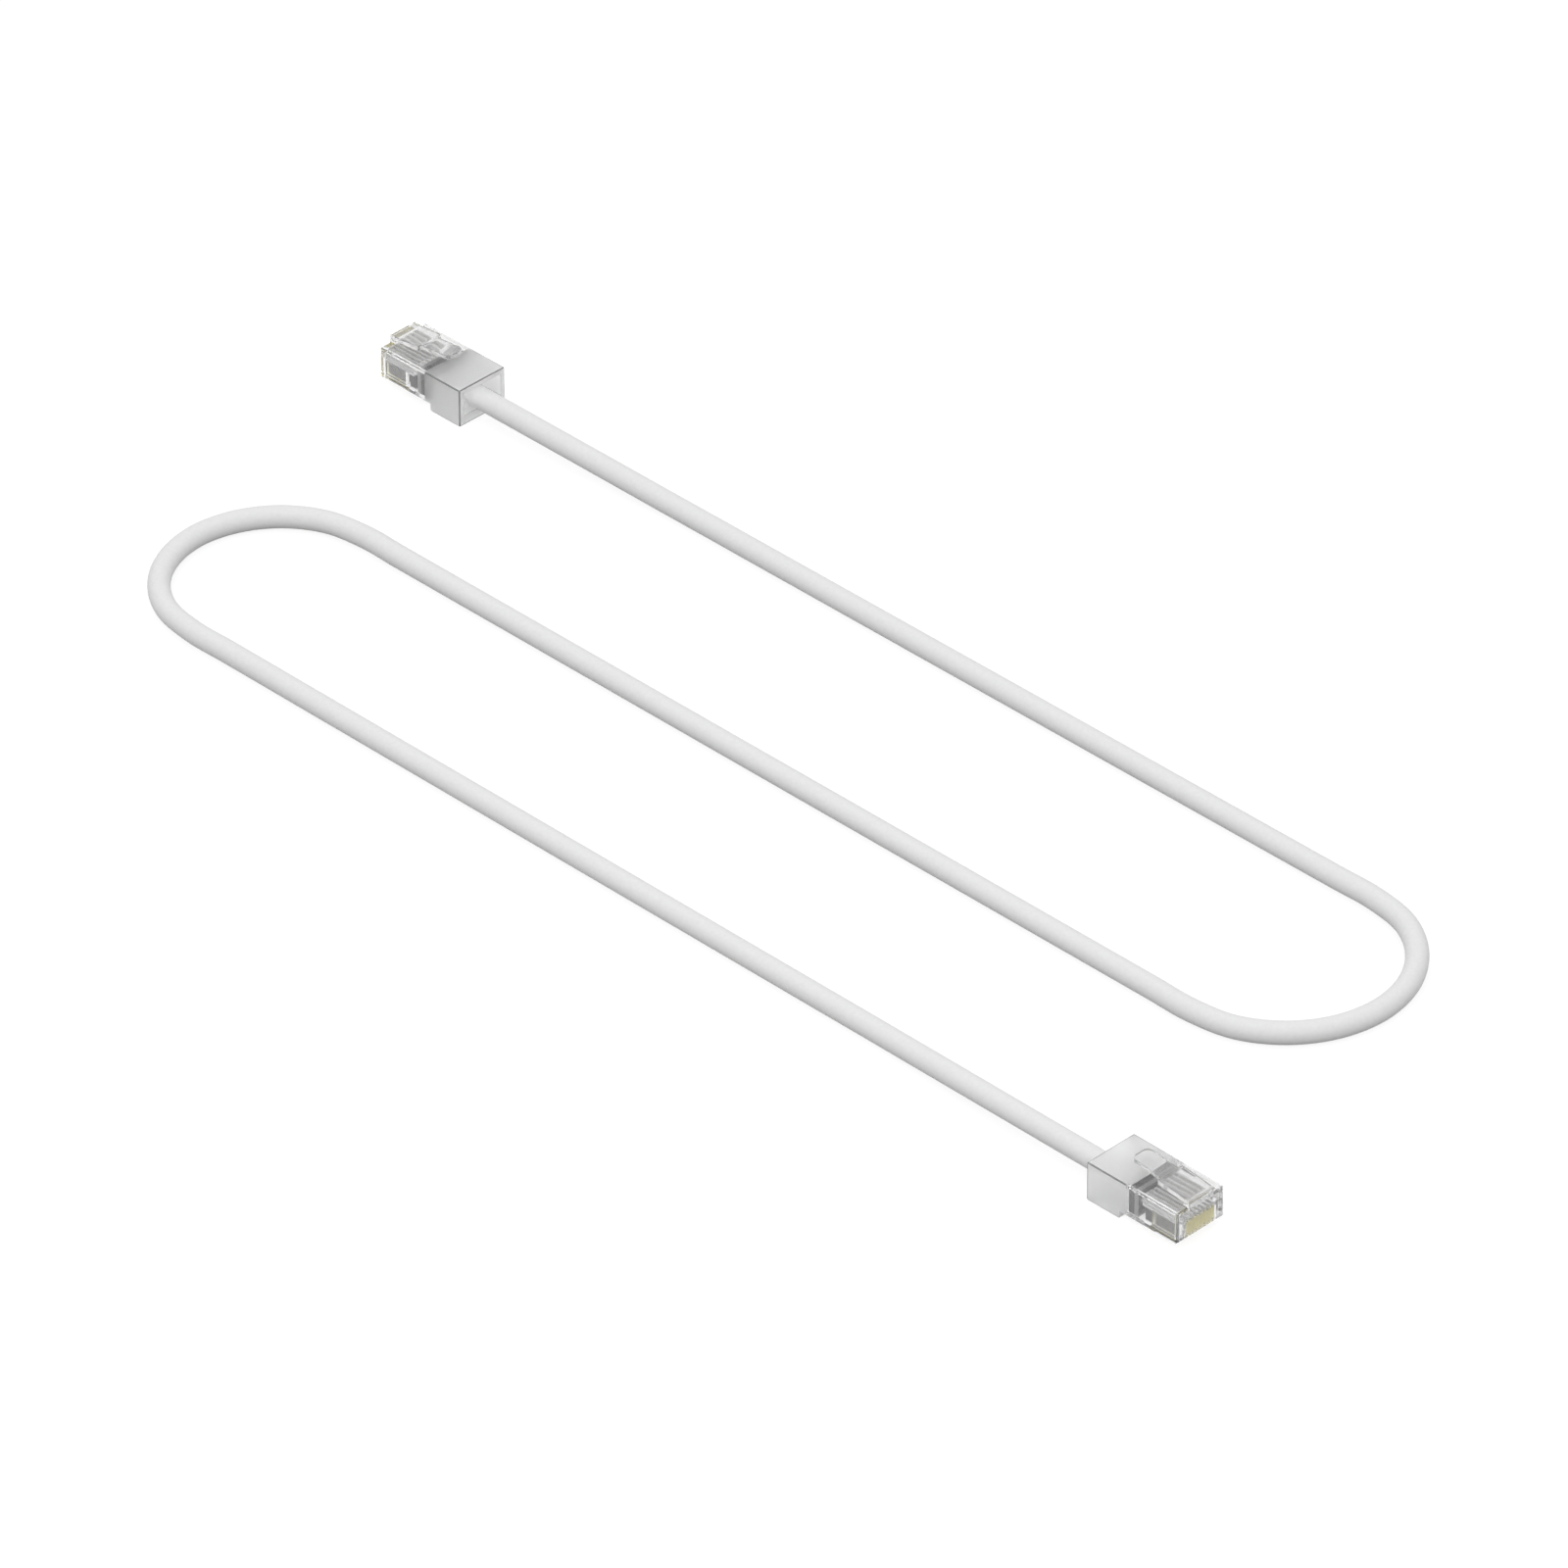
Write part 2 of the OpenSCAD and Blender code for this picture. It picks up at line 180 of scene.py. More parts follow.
# %% Route of the cord
CORD_R = 2.15
OUTLET_Z = 3.7
RING_GAP = 1.6
ROUTE = np.array([
    [-129.6, 45.3, 1], [-112, 45.3, 1], [-102, 45.5, 0.88], [-90, 46.1, 0.5],
    [-78, 46.7, 0.12], [-68, 46.9, 0], [-58, 46.9, 0], [20, 46.9, 0], [92, 46.9, 0],
    [101.4, 46.9, 0], [110.3, 45.1, 0], [117.8, 39.9, 0], [122.8, 32.3, 0], [124.6, 23.2, 0],
    [122.8, 14.2, 0], [117.8, 6.6, 0], [110.3, 1.4, 0], [101.4, -0.4, 0],
    [92, -0.4, 0], [0, -0.4, 0], [-99, -0.4, 0],
    [-108.8, -0.4, 0], [-117.1, -2, 0], [-124.2, -6.7, 0], [-128.9, -13.8, 0], [-130.6, -22.1, 0],
    [-128.9, -30.3, 0], [-124.2, -37.4, 0], [-117.1, -42.1, 0], [-108.8, -43.7, 0],
    [-99, -43.7, 0], [-20, -43.7, 0], [58, -43.7, 0], [68, -43.7, 0], [78, -43.9, 0.12],
    [90, -44.5, 0.5], [102, -45.1, 0.88], [112, -45.3, 1], [129.6, -45.3, 1],
])


def smooth_path(points, spacing):
    """
    Cubic Hermite curve through points, sampled about every `spacing` along it. The heading at a
    point is the mean of the slopes on both sides, each weighted by the length of the other side.
    """
    gap = np.diff(points, axis=0)
    length = np.linalg.norm(gap, axis=1)
    slope = gap / length[:, None]
    near, far = length[:-1, None], length[1:, None]
    inner = (far * slope[:-1] + near * slope[1:]) / (near + far)
    heading = np.concatenate([slope[:1], inner, slope[-1:]])
    parts = []
    for i, span in enumerate(length):
        n = int(np.ceil(span / spacing))
        t = (np.arange(n) / n)[:, None]
        parts.append(
            (2 * t**3 - 3 * t**2 + 1) * points[i]
            + (t**3 - 2 * t**2 + t) * span * heading[i]
            + (3 * t**2 - 2 * t**3) * points[i + 1]
            + (t**3 - t**2) * span * heading[i + 1]
        )
    return np.concatenate(parts + [points[-1:]])


lifted = ROUTE.copy()
lifted[:, 2] = CORD_R + ROUTE[:, 2] * (OUTLET_Z - CORD_R)
cord_path = smooth_path(lifted, RING_GAP)
cord_path[:, 2] = np.maximum(cord_path[:, 2], CORD_R)

# %% [markdown]
# The jacket is a skin round that path. Its two cut ends are slightly rounded, so the first and the
# last ring are a tenth of a millimetre smaller.

# %% Cord jacket
CUT_ROUND = 0.12
JACKET_SIDES = 32

jacket_r = np.full(len(cord_path), CORD_R)
jacket_r[[0, -1]] = CORD_R - CUT_ROUND
jacket_points, jacket_faces, jacket_uv = ring_grid(tube_rings(cord_path, jacket_r, JACKET_SIDES))
jacket = new_piece("jacket", jacket_points * MM, jacket_faces, jacket_uv)
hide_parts("cord_jacket")
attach(jacket, "cord")
print("jacket:", len(jacket_faces), "faces")

# %% [markdown]
# Inside a plug the eight conductors leave the jacket in a ring, spread sideways into their places
# and then climb into the row under the load bar. Each is a tube round a path of its own: sideways
# first, up later, both with a smooth start and stop, so no two of them meet.

# %% Paths of the conductors
WAYS = 8
PITCH = 1.02
ROW_Z = 5.2
BAR_X, FAN_X = 1.08, 9.68
RING_R = 1.19
RING_ANGLES = np.radians([22.5, -22.5, 67.5, -67.5, -112.5, 112.5, -157.5, 157.5])
SIDEWAYS_SHARE = 0.6
CLIMB_START, CLIMB_SHARE = 0.3, 0.7
ROW_STATIONS, FAN_STATIONS = 11, 36


def ease(t):
    """0 to 1 with level ends: 3 u^2 - 2 u^3."""
    u = np.clip(t, 0, 1)
    return u * u * (3 - 2 * u)


def conductor_path(way):
    """From the nose along the row, then down and round to its angle on the jacket's end."""
    row_x = np.linspace(BAR_X, FAN_X, ROW_STATIONS + 1)[:-1]
    row_y = (3.5 - way) * PITCH
    row = np.stack([row_x, np.full(ROW_STATIONS, row_y), np.full(ROW_STATIONS, ROW_Z)], -1)
    t = np.linspace(0, 1, FAN_STATIONS)
    end_y = RING_R * np.cos(RING_ANGLES[way])
    end_z = OUTLET_Z + RING_R * np.sin(RING_ANGLES[way])
    y = end_y + (row_y - end_y) * ease((1 - t) / SIDEWAYS_SHARE)
    z = end_z + (ROW_Z - end_z) * ease((1 - t - CLIMB_START) / CLIMB_SHARE)
    fan = np.stack([FAN_X + (JACKET_X - FAN_X) * t, y, z], -1)
    return np.concatenate([row, fan])


print("conductor 1 has", len(conductor_path(0)), "stations")

# %% [markdown]
# With the paths known, the conductors are made like the cord's jacket. They are as thick as their
# pitch allows, with a little air between them.

# %% Conductors
WIRE_R = 0.44
WIRE_SIDES = 14

conductors = []
for end in "ab":
    for way in range(WAYS):
        rings = tube_rings(conductor_path(way), WIRE_R, WIRE_SIDES)
        wire_points, wire_faces, wire_uv = ring_grid(rings)
        wire = new_piece(f"wire_{end}{way + 1}", to_row(wire_points, end), wire_faces, wire_uv)
        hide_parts(f"conductor_{end}{way + 1}")
        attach(wire, "cord")
        conductors.append(wire)
print("conductors:", len(conductors))

# %% [markdown]
# The latch is a tongue moulded in one with its plug. It is wide at the root, steps in at the two
# shoulders that lock behind the socket's edge, and ends in a rounded handle with grip ridges. It is
# one profile carried along the tongue: a rounded rectangle whose width and height change.

# %% Shape of the latch
KNUCKLE_R = 0.5
SHOULDER, LEVER = 6.62, 13.82
ROOT_HALF, HANDLE_HALF = 3.1, 2.1
THICK, HANDLE_THICK = 1.0, 0.85
TIP_R = 1.2
CORNER_R = 0.14
CORNER_POINTS = 9
RIDGES, RIDGE_PITCH, RIDGE_HIGH, RIDGE_HALF = 3, 0.8, 0.15, 0.17


def rounded_box(half_w, low, high, corner):
    """
    Y and z of a rounded rectangle at each station: a quarter circle round each corner's own middle,
    which lies one corner radius inside both edges.
    """
    a = np.radians(np.linspace(0, 90, CORNER_POINTS))
    turn = np.concatenate([a, a + np.pi / 2, a + np.pi, a + 3 * np.pi / 2])
    side_y = np.repeat([1, -1, -1, 1], CORNER_POINTS)
    side_z = np.repeat([1, 1, -1, -1], CORNER_POINTS)
    r = np.minimum(corner, 0.45 * np.minimum(2 * half_w, high - low))[:, None]
    middle, tall = (high + low)[:, None] / 2, (high - low)[:, None] / 2
    y = side_y * (half_w[:, None] - r) + r * np.cos(turn)
    z = middle + side_z * (tall - r) + r * np.sin(turn)
    return y, z


def latch_stations():
    """Distances x from the hinge: round the knuckle, the root, the step, the handle, the tip."""
    knuckle = -KNUCKLE_R * np.cos(np.radians(np.linspace(2, 90, 12)))
    root = np.linspace(0.06, SHOULDER - 0.12, 24)
    step = np.array([SHOULDER - 0.05, SHOULDER, SHOULDER + 0.03])
    handle = np.linspace(SHOULDER + 0.1, LEVER - TIP_R - 0.05, 60)
    tip = LEVER - TIP_R + TIP_R * np.sin(np.radians(np.linspace(0, 88, 16)))
    return np.concatenate([knuckle, root, step, handle, tip])


def latch_rings():
    """
    X, y and z of the tongue's rings. Knuckle and tip follow circles, sqrt(r^2 - x^2). The width
    steps in at the shoulders, and each ridge is a bump exp(-(x / half width)^4) on the top.
    """
    x = latch_stations()
    round_root = KNUCKLE_R**2 - np.clip(-x, 0, KNUCKLE_R) ** 2
    round_root = np.sqrt(np.clip(round_root, 0.0004, KNUCKLE_R**2))
    low = np.where(x < 0, -round_root, -THICK / 2)
    high = np.where(x < 0, round_root, THICK / 2)
    high = high - (THICK - HANDLE_THICK) * ease((x - SHOULDER + 0.2) / 1.2)
    round_tip = TIP_R**2 - np.clip(x - (LEVER - TIP_R), 0, TIP_R) ** 2
    round_tip = np.sqrt(np.clip(round_tip, 0.0, TIP_R**2))
    root_half = ROOT_HALF - 0.1 * ease((x - SHOULDER + 0.12) / 0.12)
    half = np.where(x < SHOULDER + 0.02, root_half, HANDLE_HALF - TIP_R + round_tip)
    y, z = rounded_box(half, low, high, np.full(len(x), CORNER_R))
    ridge = LEVER - 1.4 - RIDGE_PITCH * np.arange(RIDGES)
    bump = np.exp(-((x[:, None] - ridge) / RIDGE_HALF) ** 4).sum(axis=1)[:, None]
    fade = np.clip((HANDLE_HALF - 0.5 - np.abs(y)) / 0.3, 0, 1)
    z = z + np.where(z > 0, RIDGE_HIGH, 0.0) * bump * fade
    return np.broadcast_to(x[:, None], y.shape), y, z


print("latch:", len(latch_stations()), "stations")

# %% [markdown]
# The tongue is worked out flat and then turned up by 6 degrees round its hinge, which is where it
# rests when nothing presses it. Each latch rides on a body of its own, so it can be pressed down.

# %% Latches
HINGE_X, HINGE_Z = 0.88, 9.0
LATCH_RISE = 6.0

latches = []
for end in "ab":
    x, y, z = latch_rings()
    c, s = np.cos(np.radians(LATCH_RISE)), np.sin(np.radians(LATCH_RISE))
    rings = np.stack([HINGE_X + c * x - s * z, y, HINGE_Z + s * x + c * z], -1)
    latch_points, latch_faces, latch_uv = ring_grid(rings)
    latch = new_piece(f"tongue_{end}", to_row(latch_points, end), latch_faces, latch_uv)
    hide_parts(f"latch_{end}")
    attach(latch, f"latch_{end}")
    latches.append(latch)
print("latches:", [len(o.data.polygons) for o in latches], "faces each")

# %% [markdown]
# Moulded plastic never has a knife edge, and on clear plastic it is the tiny rounding of the edges
# that catches light and shows the shape. Each moulded piece is therefore a copy of its solid, with
# the flat triangles merged back into whole faces and a narrow bevel on the sharp edges.

# %% Softened copies of the moulded pieces
MERGE_MM = 0.002
FLAT_ANGLE, SHARP_ANGLE = np.radians(0.5), np.radians(40)
BEVEL_SEGMENTS = 2


def softened(node, name, width):
    """Copy of a CAD node with whole flat faces and its sharp edges bevelled by width, in mm."""
    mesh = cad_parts[node].data.copy()
    work = bmesh.new()
    work.from_mesh(mesh)
    bmesh.ops.remove_doubles(work, verts=work.verts, dist=MERGE_MM * MM)
    bmesh.ops.dissolve_limit(
        work, angle_limit=FLAT_ANGLE, verts=work.verts, edges=work.edges,
        use_dissolve_boundaries=False,
    )
    work.to_mesh(mesh)
    work.free()
    piece = bpy.data.objects.new(name, mesh)
    bpy.context.scene.collection.objects.link(piece)
    mesh.polygons.foreach_set("use_smooth", np.full(len(mesh.polygons), False))
    bevel = piece.modifiers.new("edges", "BEVEL")
    bevel.width = width * MM
    bevel.segments = BEVEL_SEGMENTS
    bevel.limit_method = "ANGLE"
    bevel.angle_limit = SHARP_ANGLE
    bevel.use_clamp_overlap = True
    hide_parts(node)
    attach(piece, "cord")
    return piece


moulded = {}
for end in "ab":
    for kind, width, slot in (
        ("plug_shell", 0.16, "clear_shell"), ("load_bar", 0.03, "clear_bar"),
        ("conductor_clamp", 0.03, "smoky_clamp"), ("wire_guide", 0.08, "smoky_guide"),
        ("jacket_clamp", 0.08, "clear_clamp"),
    ):
        name = f"{kind}_{end}"
        moulded[name] = softened(name, f"{name}_moulded", width)
print("moulded pieces:", len(moulded))

# %% [markdown]
# Finishes are node materials. One helper makes a material and sets the plain numbers on its own
# shader, and a second one links a value that changes from place to place. The others add the grain
# that a real surface has, and put finishes on a piece.

# %% Helpers for finishes


def principled(material):
    """The shader node of a material."""
    return material.node_tree.nodes["Principled BSDF"]


def finish(name, color, roughness, **sockets):
    """A Principled material; sockets are further input names with their values."""
    material = bpy.data.materials.new(name)
    material.use_nodes = True
    shader = principled(material)
    shader.inputs["Base Color"].default_value = (*color, 1.0)
    shader.inputs["Roughness"].default_value = roughness
    for key, value in sockets.items():
        shader.inputs[key.replace("_", " ")].default_value = value
    return material


def feed(material, socket, value):
    """Links a value that changes from place to place to a socket of the material's shader."""
    material.node_tree.links.new(value, principled(material).inputs[socket])


def grain(material, scale, strength, distance, detail=2.0):
    """Bump from noise on Object coordinates: scale in grains per metre, distance in mm."""
    tree = material.node_tree
    where = tree.nodes.new("ShaderNodeTexCoord")
    noise = tree.nodes.new("ShaderNodeTexNoise")
    noise.inputs["Scale"].default_value = scale
    noise.inputs["Detail"].default_value = detail
    bump = tree.nodes.new("ShaderNodeBump")
    bump.inputs["Strength"].default_value = strength
    bump.inputs["Distance"].default_value = distance * MM
    tree.links.new(where.outputs["Object"], noise.inputs["Vector"])
    tree.links.new(noise.outputs["Fac"], bump.inputs["Height"])
    feed(material, "Normal", bump.outputs["Normal"])
    return noise


def shade(material, noise, dark, light):
    """Colour that drifts between dark and light with the noise; gives back the colour's output."""
    tree = material.node_tree
    ramp = tree.nodes.new("ShaderNodeValToRGB")
    ramp.color_ramp.elements[0].position = 0.3
    ramp.color_ramp.elements[1].position = 0.7
    ramp.color_ramp.elements[0].color = (*dark, 1.0)
    ramp.color_ramp.elements[1].color = (*light, 1.0)
    tree.links.new(noise.outputs["Fac"], ramp.inputs["Fac"])
    feed(material, "Base Color", ramp.outputs["Color"])
    return ramp.outputs["Color"]


def dress(piece, *materials):
    """Puts finishes on a piece; the first one is what all its faces wear to begin with."""
    piece.data.materials.clear()
    for material in materials:
        piece.data.materials.append(material)


print("finish helpers ready")

# %% [markdown]
# The jacket is satin white PVC: nearly even in colour, with a fine matt grain from the extrusion.
# The conductors' insulation is whiter and smoother.

# %% White jacket and insulation
pvc = finish("white_pvc", (0.81, 0.81, 0.81), 0.5, Specular_IOR_Level=0.2)
pvc_noise = grain(pvc, 1400.0, 0.25, 0.02)
shade(pvc, pvc_noise, (0.79, 0.79, 0.79), (0.825, 0.825, 0.825))
dress(jacket, pvc)

insulation = finish("white_insulation", (0.94, 0.94, 0.93), 0.5)
insulation_noise = grain(insulation, 2500.0, 0.2, 0.01)
shade(insulation, insulation_noise, (0.92, 0.92, 0.91), (0.96, 0.96, 0.95))
for wire in conductors:
    dress(wire, insulation)
print("white finishes on", 1 + len(conductors), "pieces")

# %% [markdown]
# The shells are clear polycarbonate, which bends light. A finish can change along the plug: the
# helper reads how far a point is from the middle of the whole cable, which is the same for both
# plugs, and eases from one value to another there.

# %% Helpers for clear plastic
CLEAR_IOR = 1.5
NOSE_X = (-JACKET_END["a"][0] + JACKET_X) * MM


def clear(name, color, roughness, transmission=1.0, ior=CLEAR_IOR):
    """Clear moulded plastic: transmission with a slightly wavy skin."""
    material = finish(name, color, roughness, IOR=ior, Transmission_Weight=transmission)
    grain(material, 500.0, 0.3, 0.01, detail=1.0)
    return material


def along(material, axis, start, stop, before, after):
    """Value that eases from `before` to `after` while |axis| goes from start to stop, in metres."""
    tree = material.node_tree
    where = tree.nodes.new("ShaderNodeTexCoord")
    split = tree.nodes.new("ShaderNodeSeparateXYZ")
    size = tree.nodes.new("ShaderNodeMath")
    size.operation = "ABSOLUTE"
    step = tree.nodes.new("ShaderNodeMapRange")
    step.interpolation_type = "SMOOTHSTEP"
    step.inputs["From Min"].default_value = start
    step.inputs["From Max"].default_value = stop
    step.inputs["To Min"].default_value = before
    step.inputs["To Max"].default_value = after
    tree.links.new(where.outputs["Object"], split.inputs["Vector"])
    tree.links.new(split.outputs[axis], size.inputs[0])
    tree.links.new(size.outputs[0], step.inputs["Value"])
    return step.outputs["Result"]


print("clear plastic bends light by", CLEAR_IOR, "and the noses lie", NOSE_X, "m from the middle")

# %% [markdown]
# The nose is polished and shows what it holds. The rear block is milky from the texture of its
# mould, inside and outside, so light spreads in it and it looks evenly grey. Where the block's
# edges are rounded, their faces are painted dark grey: a painted shade for the thin dark lines that
# edges bending light away show. So the shell wears three finishes, for its outside, its edges and
# its inside, and each of them changes 12 mm behind the nose.

# %% Clear shell with a milky block
TINT, POLISH = 0.97, 0.05
BLOCK_FULL, BLOCK_START = NOSE_X - 0.0125, NOSE_X - 0.0119

shell_plastic = clear("clear_shell", (TINT, TINT, TINT), POLISH)
edge_shade_paint = clear("edge_painted_shade", (TINT, TINT, TINT), POLISH)
inner_plastic = clear("clear_inner", (TINT, TINT, TINT), POLISH, 0.97)
# The edge finish's dark grey on the block, 0.2, is the painted shade of the edge lines.
for plastic, block_color, block_transmission, block_roughness in (
    (shell_plastic, 0.9, 0.8, 0.9), (edge_shade_paint, 0.2, 0.4, 0.2), (inner_plastic, 1.0, 0.95, 0.9),
):
    for socket, nose, block in (
        ("Base Color", TINT, block_color), ("Transmission Weight", 0.97, block_transmission),
        ("Roughness", POLISH, block_roughness),
    ):
        feed(plastic, socket, along(plastic, "X", BLOCK_FULL, BLOCK_START, block, nose))
print("shell finishes ready")

# %% [markdown]
# The contacts lie tightly between the ribs of the nose, and their gold would be seen through the
# clear ribs. So the walls of the slots are painted an opaque gilt tone from 0.6 mm above the
# underside: a painted reflection of the contacts' gold.

# %% Painted gold reflection on the walls of the contact slots
REFLECTION_FROM, REFLECTION_FULL = 0.0021, 0.0025

painted_gold_reflection = clear("wall_painted_gold_reflection", (1.0, 0.98, 0.82), 0.8)
feed(
    painted_gold_reflection, "Transmission Weight", along(painted_gold_reflection, "Z", REFLECTION_FROM, REFLECTION_FULL, 0.97, 0.0)
)
print("gilt from", REFLECTION_FROM, "m above the floor")

# %% [markdown]
# Which face of a shell wears which finish follows from the face's place and normal. A face belongs
# to the inside where its normal points towards the plug's axis, and the rim round the rear opening
# goes with the inside. The slots' walls, which wear the painted gold reflection, face sideways and
# lie low in the nose, and the two outermost ones stay clear.

# %% Helpers that read faces and edges


def read(items, field, kind=float, width=3):
    """One field of all vertices, edges or faces as an array with one row for each."""
    values = np.zeros(width * len(items), dtype=kind)
    items.foreach_get(field, values)
    return values.reshape(-1, width)


def faces_of(piece, end):
    """Middle and normal of each face, in the plug's own axes."""
    faces = piece.data.polygons
    return to_plug(read(faces, "center"), end), read(faces, "normal") * TURNED[end]


def round_box(piece, end, width, slot):
    """
    Rounds the outer edges of a shell's box by width, in mm. An edge is one of them where both its
    ends lie in two of the box's planes: the rear, the top, the underside and the two sides. The new
    faces wear the finish in the given slot.
    """
    mesh = piece.data
    place = to_plug(read(mesh.vertices, "co"), end)
    rear = place[place[:, 0] > place[:, 0].max() - 0.01]
    edge_ends = place[read(mesh.edges, "vertices", np.int32, 2)]
    high = np.abs(edge_ends - rear.max(axis=0)) < 0.01
    low = np.abs(edge_ends - rear.min(axis=0)) < 0.01
    low[..., 0] = False
    outer = (high.all(axis=1) | low.all(axis=1)).sum(axis=1) >= 2
    weight = mesh.attributes.new("bevel_weight_edge", "FLOAT", "EDGE")
    weight.data.foreach_set("value", outer.astype(np.float32))
    rim = piece.modifiers.new("rim", "BEVEL")
    rim.width = width * MM
    rim.segments = BEVEL_SEGMENTS
    rim.limit_method = "WEIGHT"
    rim.material = slot
    piece.modifiers.move(len(piece.modifiers) - 1, 0)
    print("box edges rounded on", piece.name, int(outer.sum()))


print("face helpers ready")

# %% [markdown]
# With these helpers the shells get their four finishes. The edge finish, which carries the painted
# shade of the block's edges, goes on by itself, on the new faces that the two bevels make.

# %% Finishes of the shells
OUTSIDE, EDGE, INSIDE, GOLD_REFLECTION = range(4)
BOX_ROUND = 0.22
FACING = 0.9
AXIS_Z = 4.0
RIM_X = 21.0
SLOT_HALF, SLOT_REAR, SLOT_TOP = 3.6, 6.3, 5.3

for end in "ab":
    shell = moulded[f"plug_shell_{end}"]
    dress(shell, shell_plastic, edge_shade_paint, inner_plastic, painted_gold_reflection)
    shell.modifiers["edges"].material = EDGE
    round_box(shell, end, BOX_ROUND, EDGE)
    middle, normal = faces_of(shell, end)
    inner = middle[:, 1] * normal[:, 1] + (middle[:, 2] - AXIS_Z) * normal[:, 2] < 0
    inner &= np.abs(normal[:, 0]) < FACING
    inner |= (normal[:, 0] > FACING) & (middle[:, 0] > RIM_X)
    walls = (np.abs(normal[:, 1]) > FACING) & (np.abs(middle[:, 1]) < SLOT_HALF)
    walls &= (middle[:, 0] < SLOT_REAR) & (middle[:, 2] < SLOT_TOP)
    index = np.where(walls, GOLD_REFLECTION, np.where(inner, INSIDE, OUTSIDE))
    shell.data.polygons.foreach_set("material_index", index.astype(np.int32))
    print("shell", end, "inner faces:", int(inner.sum()), "gilt walls:", int(walls.sum()))

# %% [markdown]
# The wire guide and the conductor clamp are clear plastic, which looks dark from above and from the
# side, where it bends the light away. Their faces there are painted almost black, a painted shade
# for that dark; on the guide the painted shade lightens from 10.8 to 10.4 mm behind the nose. Their
# faces towards the nose stay pale, or the painted shade would darken all that is in front of them.
# The load bar fits closely into the shell, where light passes almost straight on, so it bends light
# less than the pieces that stand free. The jacket clamp under the cord is white.

# %% Inner pieces and latches
FITTED_IOR = 1.25
GUIDE_DARK, GUIDE_PALE = NOSE_X - 0.0108, NOSE_X - 0.0104

latch_plastic = clear("clear_latch", (0.95, 0.95, 0.95), POLISH, 0.92)
bar_plastic = clear("clear_bar", (0.97, 0.97, 0.97), 0.04, ior=FITTED_IOR)
# Painted shade: clamp and guide are painted nearly black on the faces that look up and sideways.
painted_shade_clamp = clear("smoky_clamp", (0.09, 0.09, 0.095), 0.2, 0.3)
painted_shade_guide = clear("smoky_guide", (0.07, 0.07, 0.075), 0.2, 0.3)
feed(painted_shade_guide, "Base Color", along(painted_shade_guide, "X", GUIDE_DARK, GUIDE_PALE, 0.07, 0.5))
pale_plastic = clear("pale_front", (0.90, 0.90, 0.90), 0.1, 0.9)
cradle_plastic = clear("white_cradle", (1.0, 1.0, 1.0), 0.5, 0.4)

for end in "ab":
    dress(moulded[f"load_bar_{end}"], bar_plastic)
    dress(moulded[f"jacket_clamp_{end}"], cradle_plastic)
    for kind, painted_dark in (("conductor_clamp", painted_shade_clamp), ("wire_guide", painted_shade_guide)):
        piece = moulded[f"{kind}_{end}"]
        dress(piece, painted_dark, pale_plastic)
        normal = faces_of(piece, end)[1]
        ahead = normal[:, 0] < -0.5
        piece.data.polygons.foreach_set("material_index", ahead.astype(np.int32))
for latch in latches:
    dress(latch, latch_plastic)
print("clear finishes on", len(moulded) + len(latches), "pieces")

# %% [markdown]
# The contacts are stamped from bronze. Their front edges, which touch the socket, are plated with
# gold; behind them the bronze is painted almost black, a painted shade for the dark flanks in the
# shade of the slots. The copper cores only show where the load bar is looked through.

# %% Gold, bronze and copper
# The bronze colour is painted shade: nearly black, for the flanks in the slots' shade.
SHADE_PAINTED_BRONZE = (0.06, 0.055, 0.045, 1.0)
PLATED_FROM, PLATED_FULL = NOSE_X - 0.0014, NOSE_X - 0.001

gold = finish("gold_plating", (0.94, 0.88, 0.57), 0.25, Metallic=1.0)
gold_noise = grain(gold, 6000.0, 0.15, 0.01)
gold_color = shade(gold, gold_noise, (0.90, 0.83, 0.52), (0.98, 0.92, 0.62))
plated = gold.node_tree.nodes.new("ShaderNodeMixRGB")
plated.inputs["Color1"].default_value = SHADE_PAINTED_BRONZE
gold.node_tree.links.new(
    along(gold, "X", PLATED_FROM, PLATED_FULL, 0.0, 1.0), plated.inputs["Fac"]
)
gold.node_tree.links.new(gold_color, plated.inputs["Color2"])
feed(gold, "Base Color", plated.outputs["Color"])

copper = finish("bare_copper", (0.72, 0.42, 0.27), 0.3, Metallic=1.0)
copper_noise = grain(copper, 6000.0, 0.15, 0.01)
shade(copper, copper_noise, (0.66, 0.36, 0.22), (0.78, 0.48, 0.32))
for end in "ab":
    dress(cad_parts[f"copper_cores_{end}"], copper)
    for way in range(WAYS):
        dress(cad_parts[f"contact_{end}{way + 1}"], gold)
print("metal finishes on", 2 * (WAYS + 1), "nodes")

# %% [markdown]
# The set is a plain white floor under a pale sky. Both show almost pure white to the camera, in
# reflections and through clear plastic, and give less light to everything else. One helper tells
# the two kinds of ray apart. The floor's paint keeps a faint contact shadow.

# %% Floor
FLOOR_HALF, FLOOR_Z = 3.0, -0.00002
FLOOR_PAINT, FLOOR_GLOW = 0.22, 0.85


def shown(tree):
    """1 for rays from the camera, from gloss and through clear plastic, 0 for all other light."""
    rays = tree.nodes.new("ShaderNodeLightPath")
    result = rays.outputs["Is Camera Ray"]
    for kind in ("Is Glossy Ray", "Is Transmission Ray"):
        larger = tree.nodes.new("ShaderNodeMath")
        larger.operation = "MAXIMUM"
        tree.links.new(result, larger.inputs[0])
        tree.links.new(rays.outputs[kind], larger.inputs[1])
        result = larger.outputs[0]
    return result


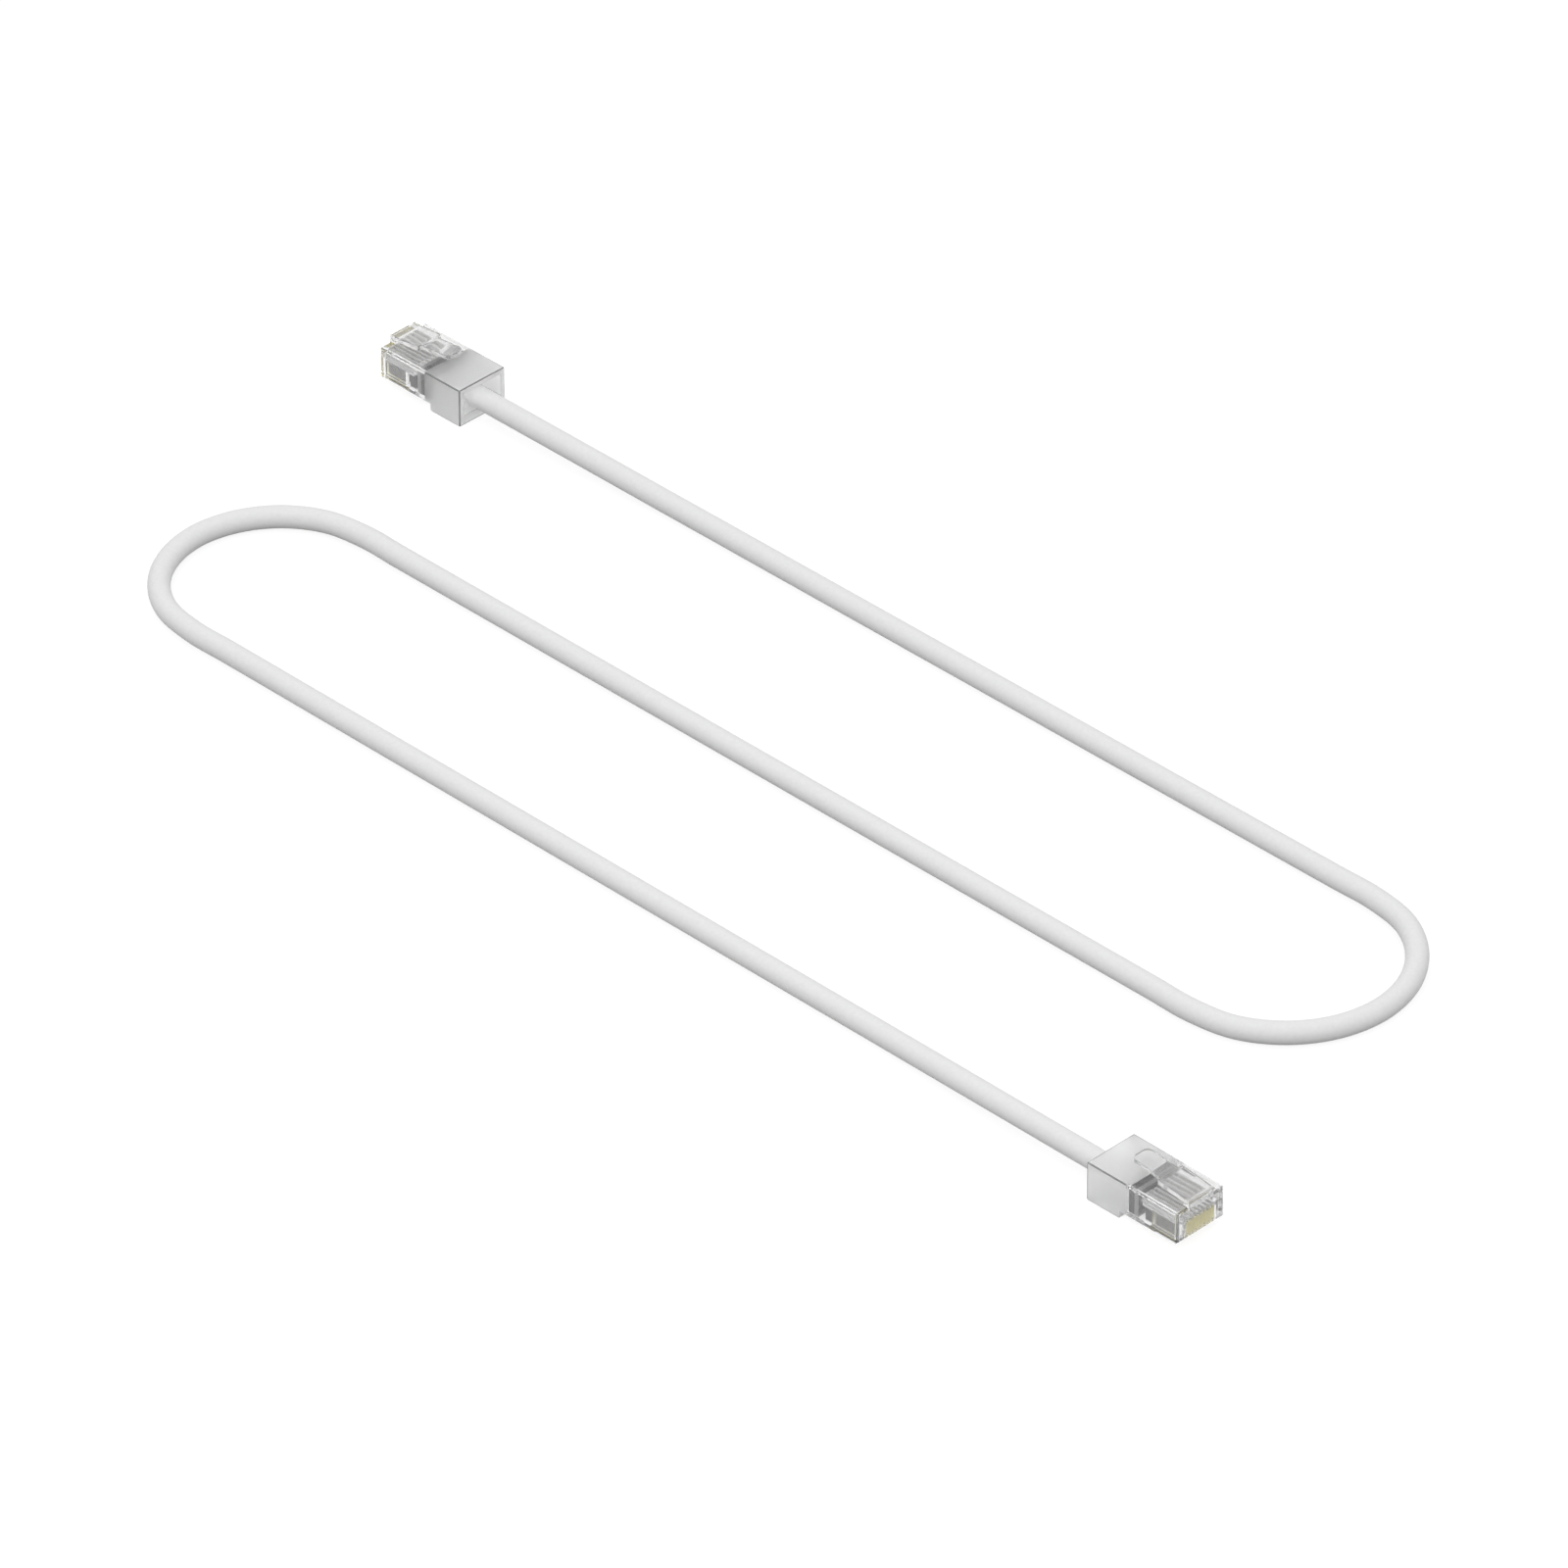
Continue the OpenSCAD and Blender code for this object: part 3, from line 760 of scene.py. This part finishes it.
corners = [(x, y, FLOOR_Z) for x, y in (
    (-FLOOR_HALF, -FLOOR_HALF), (FLOOR_HALF, -FLOOR_HALF),
    (FLOOR_HALF, FLOOR_HALF), (-FLOOR_HALF, FLOOR_HALF),
)]
floor = new_piece("floor", corners, [(0, 1, 2, 3)], smooth=False)
white_floor = bpy.data.materials.new("white_floor")
white_floor.use_nodes = True
tree = white_floor.node_tree
tree.nodes.clear()
output = tree.nodes.new("ShaderNodeOutputMaterial")
add = tree.nodes.new("ShaderNodeAddShader")
paint = tree.nodes.new("ShaderNodeBsdfDiffuse")
paint.inputs["Color"].default_value = (FLOOR_PAINT, FLOOR_PAINT, FLOOR_PAINT, 1.0)
glow = tree.nodes.new("ShaderNodeEmission")
level = tree.nodes.new("ShaderNodeMath")
level.operation = "MULTIPLY"
level.inputs[1].default_value = FLOOR_GLOW
tree.links.new(shown(tree), level.inputs[0])
tree.links.new(level.outputs[0], glow.inputs["Strength"])
tree.links.new(paint.outputs[0], add.inputs[0])
tree.links.new(glow.outputs[0], add.inputs[1])
tree.links.new(add.outputs[0], output.inputs["Surface"])
dress(floor, white_floor)
print("floor ready")

# %% [markdown]
# The sky lights the cable evenly from all round, a little more weakly than it shows.

# %% Sky
SKY_LIGHT, SKY_SHOWN = 0.88, 1.0

world = bpy.data.worlds.new("sky")
bpy.context.scene.world = world
world.use_nodes = True
sky = world.node_tree
background = sky.nodes["Background"]
background.inputs["Color"].default_value = (1, 1, 1, 1)
strength = sky.nodes.new("ShaderNodeMapRange")
strength.inputs["To Min"].default_value = SKY_LIGHT
strength.inputs["To Max"].default_value = SKY_SHOWN
sky.links.new(shown(sky), strength.inputs["Value"])
sky.links.new(strength.outputs["Result"], background.inputs["Strength"])
print("sky ready")

# %% [markdown]
# One large soft lamp stands in front and above. It makes the sides of the cord and of the plugs
# differ a little, so their shape shows.

# %% Lamp
LAMP_PLACE = np.array([0.5, -1.1, 1.2])
LAMP_SIZE, LAMP_POWER = 1.0, 5.0

light = bpy.data.lights.new("key", "AREA")
light.size = LAMP_SIZE
light.energy = LAMP_POWER
lamp = bpy.data.objects.new("key", light)
bpy.context.scene.collection.objects.link(lamp)
back = LAMP_PLACE / np.linalg.norm(LAMP_PLACE)
across = np.cross([0.0, 1.0, 0.0], back)
across /= np.linalg.norm(across)
turn = np.eye(4)
turn[:3, 0], turn[:3, 1], turn[:3, 2] = across, np.cross(back, across), back
turn[:3, 3] = LAMP_PLACE
lamp.matrix_world = Matrix(turn.tolist())
print("lamp at", LAMP_PLACE)

# %% [markdown]
# Light is thrown to and fro many times between the walls of clear plastic and the white conductors
# before it finds its way out, so it may bounce more often than usual.

# %% Bounces of light
BOUNCES = 32

for kind in ("max_bounces", "transmission_bounces", "glossy_bounces", "diffuse_bounces"):
    setattr(bpy.context.scene.cycles, kind, BOUNCES)
bpy.context.scene.view_settings.view_transform = "Standard"
print("light may bounce", BOUNCES, "times")
